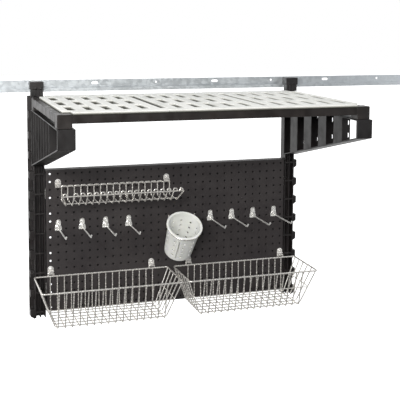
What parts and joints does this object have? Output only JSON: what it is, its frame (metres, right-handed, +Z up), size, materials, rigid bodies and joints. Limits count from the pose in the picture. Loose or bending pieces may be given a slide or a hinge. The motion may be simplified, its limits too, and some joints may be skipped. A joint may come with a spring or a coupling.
{
  "type": "pegboard tool wall",
  "caption": "Wall rail carrying two uprights with a perforated tool panel, a slotted shelf on brackets, wire baskets, a wire tray, peg hooks and a leaning cup.",
  "frame": {"origin": "middle of the wall rail's back face, in the plane of the wall", "axes": "+X right along the rail, seen from the room; +Y into the wall; +Z up. The object extends towards -Y."},
  "size_m": [1.8288, 0.5648, 0.7617],
  "materials": {
    "galvanised_steel": "galvanised, soft grey with faint spangle",
    "black_moulding": "semi-matt structural plastic",
    "shelf_moulding": "semi-gloss structural plastic",
    "ivory_mat": "pale moulded plastic",
    "panel_coating": "charcoal powder coat",
    "zinc_hook": "bright zinc plate",
    "zinc_clip": "bright zinc plate",
    "plated_wire": "nickel-plated wire",
    "cup_plastic": "off-white moulded plastic"
  },
  "bodies": {
    "rail": {"wall_rail": "galvanised_steel"},
    "unit": {"upright_left": "black_moulding", "upright_right": "black_moulding", "hanger_left": "black_moulding", "hanger_right": "black_moulding", "bracket_left": "black_moulding", "bracket_right": "black_moulding", "pegboard_panel": "panel_coating", "panel_stiffener_upper": "panel_coating", "panel_stiffener_lower": "panel_coating", "panel_backing": "panel_coating", "panel_clips": "zinc_clip", "panel_screws": "zinc_clip", "hanger_screws": "black_moulding", "tray_clips": "zinc_clip", "basket_clips": "zinc_clip", "clip_screws": "zinc_clip", "cup_holder_plate": "zinc_clip", "cup_ring": "plated_wire"},
    "shelf": {"shelf_front_beam": "shelf_moulding", "shelf_rear_beam": "shelf_moulding", "shelf_side_beam_left": "shelf_moulding", "shelf_side_beam_right": "shelf_moulding", "shelf_corner_front_left": "shelf_moulding", "shelf_corner_front_right": "shelf_moulding", "shelf_corner_rear_left": "shelf_moulding", "shelf_corner_rear_right": "shelf_moulding", "shelf_joist_left": "shelf_moulding", "shelf_joist_right": "shelf_moulding"},
    "mat_left": {"mat_left": "ivory_mat"},
    "mat_centre": {"mat_centre": "ivory_mat"},
    "mat_right": {"mat_right": "ivory_mat"},
    "basket_left": {"basket_left_rim": "plated_wire", "basket_left_back": "plated_wire", "basket_left_front": "plated_wire", "basket_left_ends": "plated_wire", "basket_left_floor": "plated_wire", "basket_left_hangers": "plated_wire"},
    "basket_right": {"basket_right_rim": "plated_wire", "basket_right_back": "plated_wire", "basket_right_front": "plated_wire", "basket_right_ends": "plated_wire", "basket_right_floor": "plated_wire", "basket_right_hangers": "plated_wire"},
    "tray": {"tray_back": "plated_wire", "tray_floor": "plated_wire", "tray_front": "plated_wire"},
    "cup": {"cup": "cup_plastic"},
    "hook_1": {"hook_1": "zinc_hook"},
    "hook_2": {"hook_2": "zinc_hook"},
    "hook_3": {"hook_3": "zinc_hook"},
    "hook_4": {"hook_4": "zinc_hook"},
    "hook_5": {"hook_5": "zinc_hook"},
    "hook_6": {"hook_6": "zinc_hook"},
    "hook_7": {"hook_7": "zinc_hook"},
    "hook_8": {"hook_8": "zinc_hook"}
  },
  "joints": [
    {"name": "unit_slide", "type": "slide", "parent": "rail", "child": "unit", "axis": [1, 0, 0], "range_m": [-0.45, 0.45]},
    {"name": "shelf_lift", "type": "slide", "parent": "unit", "child": "shelf", "axis": [0, 0, 1], "range_m": [0, 0.06]},
    {"name": "mat_left_lift", "type": "slide", "parent": "shelf", "child": "mat_left", "axis": [0, 0, 1], "range_m": [0, 0.05]},
    {"name": "mat_centre_lift", "type": "slide", "parent": "shelf", "child": "mat_centre", "axis": [0, 0, 1], "range_m": [0, 0.05]},
    {"name": "mat_right_lift", "type": "slide", "parent": "shelf", "child": "mat_right", "axis": [0, 0, 1], "range_m": [0, 0.05]},
    {"name": "basket_left_tilt", "type": "hinge", "parent": "unit", "child": "basket_left", "pos_m": [-0.2286, -0.047, -0.5934], "axis": [-1, 0, 0], "range_deg": [0, 20]},
    {"name": "basket_right_tilt", "type": "hinge", "parent": "unit", "child": "basket_right", "pos_m": [0.2286, -0.047, -0.5934], "axis": [-1, 0, 0], "range_deg": [0, 20]},
    {"name": "tray_lift", "type": "slide", "parent": "unit", "child": "tray", "axis": [0, 0, 1], "range_m": [0, 0.025]},
    {"name": "cup_lift", "type": "slide", "parent": "unit", "child": "cup", "axis": [0, -0.6, 0.8], "range_m": [0, 0.09]},
    {"name": "hook_1_tilt", "type": "hinge", "parent": "unit", "child": "hook_1", "pos_m": [-0.3683, -0.0384, -0.4284], "axis": [-1, 0, 0], "range_deg": [0, 35]},
    {"name": "hook_2_tilt", "type": "hinge", "parent": "unit", "child": "hook_2", "pos_m": [-0.2921, -0.0384, -0.4284], "axis": [-1, 0, 0], "range_deg": [0, 35]},
    {"name": "hook_3_tilt", "type": "hinge", "parent": "unit", "child": "hook_3", "pos_m": [-0.2159, -0.0384, -0.4284], "axis": [-1, 0, 0], "range_deg": [0, 35]},
    {"name": "hook_4_tilt", "type": "hinge", "parent": "unit", "child": "hook_4", "pos_m": [-0.1397, -0.0384, -0.4284], "axis": [-1, 0, 0], "range_deg": [0, 35]},
    {"name": "hook_5_tilt", "type": "hinge", "parent": "unit", "child": "hook_5", "pos_m": [0.1397, -0.0384, -0.4284], "axis": [-1, 0, 0], "range_deg": [0, 35]},
    {"name": "hook_6_tilt", "type": "hinge", "parent": "unit", "child": "hook_6", "pos_m": [0.2159, -0.0384, -0.4284], "axis": [-1, 0, 0], "range_deg": [0, 35]},
    {"name": "hook_7_tilt", "type": "hinge", "parent": "unit", "child": "hook_7", "pos_m": [0.2921, -0.0384, -0.4284], "axis": [-1, 0, 0], "range_deg": [0, 35]},
    {"name": "hook_8_tilt", "type": "hinge", "parent": "unit", "child": "hook_8", "pos_m": [0.3683, -0.0384, -0.4284], "axis": [-1, 0, 0], "range_deg": [0, 35]}
  ]
}
